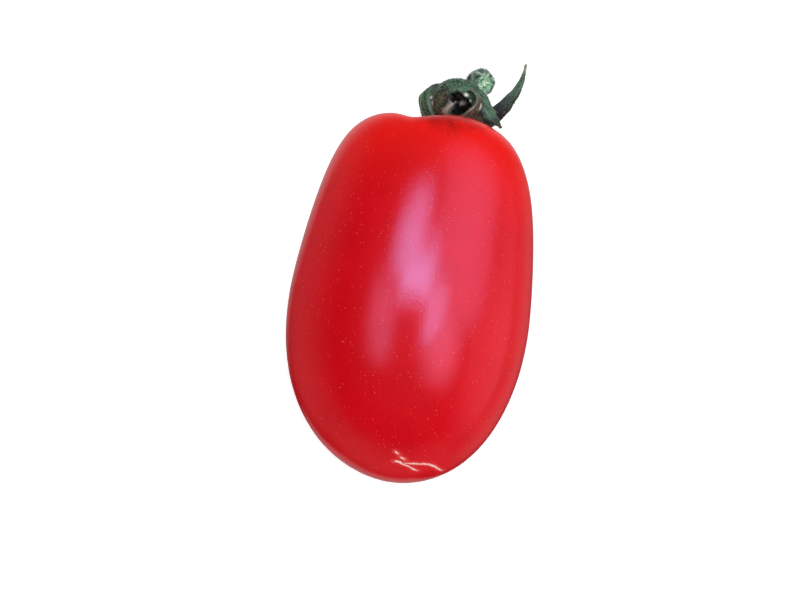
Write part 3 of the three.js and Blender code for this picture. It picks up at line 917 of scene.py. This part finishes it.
def hairTree(material):
    tree = geometryTree("glandHairs", hairs["sizes"])
    tree.interface.new_socket("Seed", in_out="INPUT", socket_type="NodeSocketInt")
    given = addNode(tree, "NodeGroupInput").outputs
    roots = addNode(tree, "GeometryNodeDistributePointsOnFaces", {
        "Mesh": given["Geometry"], "Density": given["Density"], "Seed": given["Seed"]})
    cone = addNode(tree, "GeometryNodeMeshCone", {
        "Vertices": 4, "Radius Top": 0.0, "Radius Bottom": given["Thickness"],
        "Depth": given["Length"]})
    lean = addNode(tree, "FunctionNodeRandomValue", {
        0: (-hairs["lean"], -hairs["lean"], 0.0), 1: (hairs["lean"], hairs["lean"], hairs["turn"]),
        "Seed": given["Seed"]}, data_type="FLOAT_VECTOR")
    turned = addNode(tree, "FunctionNodeRotateRotation", {
        0: roots.outputs["Rotation"], 1: lean.outputs[0]}, rotation_space="LOCAL")
    sizes = addNode(tree, "FunctionNodeRandomValue", {
        2: hairs["scale"][0], 3: hairs["scale"][1], "Seed": given["Seed"]}, data_type="FLOAT")
    placed = addNode(tree, "GeometryNodeInstanceOnPoints", {
        "Points": roots.outputs["Points"], "Instance": cone.outputs["Mesh"],
        "Rotation": turned.outputs[0], "Scale": sizes.outputs[1]})
    return finishTree(tree, placed.outputs[0], material)


def hairDown():
    # Gland hairs: clear pale green threads that catch the light.
    material, tree = newMaterial("glandHairDown")
    place = addNode(tree, "ShaderNodeTexCoord").outputs["Object"]
    tint = addNode(tree, "ShaderNodeTexNoise", {"Vector": place, "Scale": 1 / (2 * mm)})
    colour = rampStops(addNode(tree, "ShaderNodeValToRGB", {0: tint.outputs[0]}), [
        (0.35, srgb("#2f4634")), (0.65, srgb("#8aa48c"))])
    surface = addNode(tree, "ShaderNodeBsdfPrincipled", {
        "Base Color": colour.outputs[0], "Roughness": 0.35, "IOR": 1.5})
    addNode(tree, "ShaderNodeOutputMaterial", {0: surface.outputs[0]})
    return material


print("hairs")
downTree = hairTree(hairDown())
hairValues = {**hairs["sizes"], "Seed": hairs["seed"]}
calyxHairs, stemHairs = (
    bakedByNodes(carrier, name, downTree, hairValues)
    for carrier, name in ((calyxPiece, "calyxHairs"), (stemPiece, "stemHairs")))
bpy.data.objects.remove(blank)


# Studio: pale floor, camera, soft light

def addCamera():
    data = bpy.data.cameras.new("camera")
    data.lens, data.sensor_width = camera["lens"], camera["sensor"]
    data.clip_start = 0.01
    eye = bpy.data.objects.new("camera", data)
    eye.matrix_world = cameraMatrix()
    bpy.context.collection.objects.link(eye)
    bpy.context.scene.camera = eye


# side and along: the panel's place, in degrees from straight up towards +X and towards the stem
# end. across and length: its size in degrees. soft: its fading margin, in degrees. Panels show
# only in gloss; the sky gives the plain light.
panels = {
    "windowTop": {"side": -6.5, "along": 25, "across": 21, "length": 13, "soft": 19, "glow": 13,
                  "colour": "#a4b4ff"},
    "windowMiddle": {"side": 2.5, "along": 16.4, "across": 43, "length": 14.6, "soft": 11,
                     "glow": 16.0, "colour": "#a4b4ff"},
    "windowLeft": {"side": -21, "along": -3, "across": 20, "length": 36, "soft": 20, "glow": 3.4,
                   "colour": "#d0b8f4"},
    "windowRight": {"side": 24, "along": 3, "across": 18, "length": 28, "soft": 13, "glow": 9.5,
                    "colour": "#b4b4fa"},
    "windowLow": {"side": 36, "along": -10, "across": 27, "length": 32, "soft": 26, "glow": 4.6,
                  "colour": "#e6b4e8"},
    "wallRight": {"side": 42, "along": 29, "across": 40, "length": 36, "soft": 54, "glow": 3.0,
                  "colour": "#e8b8f0"},
    "wallFar": {"side": 90, "along": 26, "across": 50, "length": 40, "soft": 54, "glow": 1.35,
                "colour": "#f4b4cc"},
    "rimLeft": {"side": -106, "along": -10, "across": 50, "length": 74, "soft": 44, "glow": 0.18,
                "colour": "#f4e4e8"},
    "rimRight": {"side": 132, "along": -5, "across": 40, "length": 60, "soft": 36, "glow": 0.32,
                 "colour": "#f4e4e8"},
    "rimTip": {"side": 0, "along": -114, "across": 80, "length": 40, "soft": 30, "glow": 0.2,
               "colour": "#f4e4e8"},
    "rimStem": {"side": -8, "along": 136, "across": 60, "length": 50, "soft": 40, "glow": 0.6,
                "colour": "#f4e4e8"},
}
panelDistance = 0.6  # metres
sky = {
    "low": 0.36,
    "high": 1.7,
    "brightSide": (0.42, 0.15, 0.895),
    "inGloss": 0.02,
    "belowInGloss": 0.3,
    "belowFrom": -0.35,  # height of the direction where the pale floor starts to show
    "belowTo": -0.96,
}
fruitMiddle = 0.023  # metres above the floor
floor = {
    "half": 2.0,  # metres
    "tooth": 900.0,  # grains to the metre
    "light": 0.42,
}


def softCard(name, panel, halfWide, halfLong):
    # A glowing card that fades out towards its edges, as a curtained window does.
    material, tree = newMaterial(name)
    place = addNode(tree, "ShaderNodeTexCoord").outputs["Object"]
    parts = addNode(tree, "ShaderNodeSeparateXYZ", {0: place}).outputs
    shares = []
    for socket, half, angle in ((parts["X"], halfWide, panel["across"]),
                                (parts["Y"], halfLong, panel["length"])):
        size = addNode(tree, "ShaderNodeMath", {0: socket}, operation="ABSOLUTE")
        fadeFrom = half * max(1 - 2 * panel["soft"] / (angle + panel["soft"]), 0)
        shares.append(addNode(tree, "ShaderNodeMapRange", {
            0: size.outputs[0], 1: fadeFrom, 2: half, 3: 1.0, 4: 0.0},
            interpolation_type="SMOOTHSTEP").outputs[0])
    share = addNode(tree, "ShaderNodeMath", {0: shares[0], 1: shares[1]}, operation="MULTIPLY")
    strength = addNode(tree, "ShaderNodeMath", {0: share.outputs[0], 1: panel["glow"]},
                       operation="MULTIPLY")
    glow = addNode(tree, "ShaderNodeEmission", {
        "Color": srgb(panel["colour"]), "Strength": strength.outputs[0]})
    addNode(tree, "ShaderNodeOutputMaterial", {0: glow.outputs[0]})
    return material


def addPanel(name, panel):
    side, along = math.radians(panel["side"]), math.radians(panel["along"])
    toward = Vector((math.sin(side), math.cos(side) * math.sin(along),
                     math.cos(side) * math.cos(along)))
    lengthwise = Vector((0, math.cos(along), -math.sin(along)))
    sideways = lengthwise.cross(toward)
    x, y = (panelDistance * math.tan(math.radians((panel[key] + panel["soft"]) / 2))
            for key in ("across", "length"))
    card = meshObject(name, [(-x, -y, 0), (-x, y, 0), (x, y, 0), (x, -y, 0)], [(0, 1, 2, 3)],
                      softCard(name, panel, x, y))
    card.matrix_world = (Matrix.Translation(toward * panelDistance + Vector((0, 0, fruitMiddle)))
                         @ Matrix((sideways, lengthwise, toward)).transposed().to_4x4())
    card.visible_camera = False
    card.visible_diffuse = False
    card.visible_shadow = False


def addFloor():
    material, tree = newMaterial("matWhiteBoard")
    place = addNode(tree, "ShaderNodeTexCoord").outputs["Object"]
    tooth = addNode(tree, "ShaderNodeTexNoise", {"Vector": place, "Scale": floor["tooth"]})
    colour = rampStops(addNode(tree, "ShaderNodeValToRGB", {0: tooth.outputs[0]}), [
        (0.3, srgb("#f6f6f6")), (0.7, srgb("#fafafa"))])
    surface = addNode(tree, "ShaderNodeBsdfPrincipled", {
        "Base Color": colour.outputs[0], "Roughness": 0.9,
        "Emission Color": srgb("#ffffff"), "Emission Strength": floor["light"]})
    addNode(tree, "ShaderNodeOutputMaterial", {0: surface.outputs[0]})
    material.cycles.emission_sampling = "NONE"
    half = floor["half"]
    corners = [(-half, -half, 0), (half, -half, 0), (half, half, 0), (-half, half, 0)]
    board = meshObject("floor", corners, [(0, 1, 2, 3)], material)
    board.visible_glossy = False


def addSky():
    # The room is bright overhead, but dark in the skin's gloss, where only the panels and the
    # pale floor below show.
    world = bpy.data.worlds.new("studioAir")
    world.use_nodes = True
    tree = world.node_tree
    tree.nodes.clear()
    direction = addNode(tree, "ShaderNodeTexCoord").outputs["Generated"]
    facing = addNode(tree, "ShaderNodeVectorMath", {0: direction, 1: Vector(sky["brightSide"])},
                     operation="DOT_PRODUCT")
    light = addNode(tree, "ShaderNodeMapRange", {
        0: facing.outputs["Value"], 1: 0.0, 2: 1.0, 3: sky["low"], 4: sky["high"]})
    height = addNode(tree, "ShaderNodeSeparateXYZ", {0: direction})
    glossLight = addNode(tree, "ShaderNodeMapRange", {
        0: height.outputs["Z"], 1: sky["belowFrom"], 2: sky["belowTo"], 3: sky["inGloss"],
        4: sky["belowInGloss"]})
    ray = addNode(tree, "ShaderNodeLightPath")
    strength = addNode(tree, "ShaderNodeMix", {
        "Factor": ray.outputs["Is Glossy Ray"], 2: light.outputs[0], 3: glossLight.outputs[0]})
    backdrop = addNode(tree, "ShaderNodeMix", {
        "Factor": ray.outputs["Is Camera Ray"], 2: strength.outputs[0], 3: 1.0})
    air = addNode(tree, "ShaderNodeBackground", {
        "Color": srgb("#ffffff"), "Strength": backdrop.outputs[0]})
    addNode(tree, "ShaderNodeOutputWorld", {0: air.outputs[0]})
    world.cycles.sampling_method = "NONE"
    bpy.context.scene.world = world


print("studio")
addCamera()
for panelName, panel in panels.items():
    addPanel(panelName, panel)
addFloor()
addSky()
bpy.context.scene.view_settings.view_transform = "Standard"
bpy.context.scene.view_settings.look = "None"

slots = {
    "fruit_skin": (fruitPiece, scarPiece),
    "sepal_green": (calyxPiece, calyxHairs),
    "stem_green": (stemPiece, stemHairs),
}
for slot, pieces in slots.items():
    for piece in pieces:
        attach(piece, "root")
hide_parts("fruit")
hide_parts("calyx")
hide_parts("stem_stub")
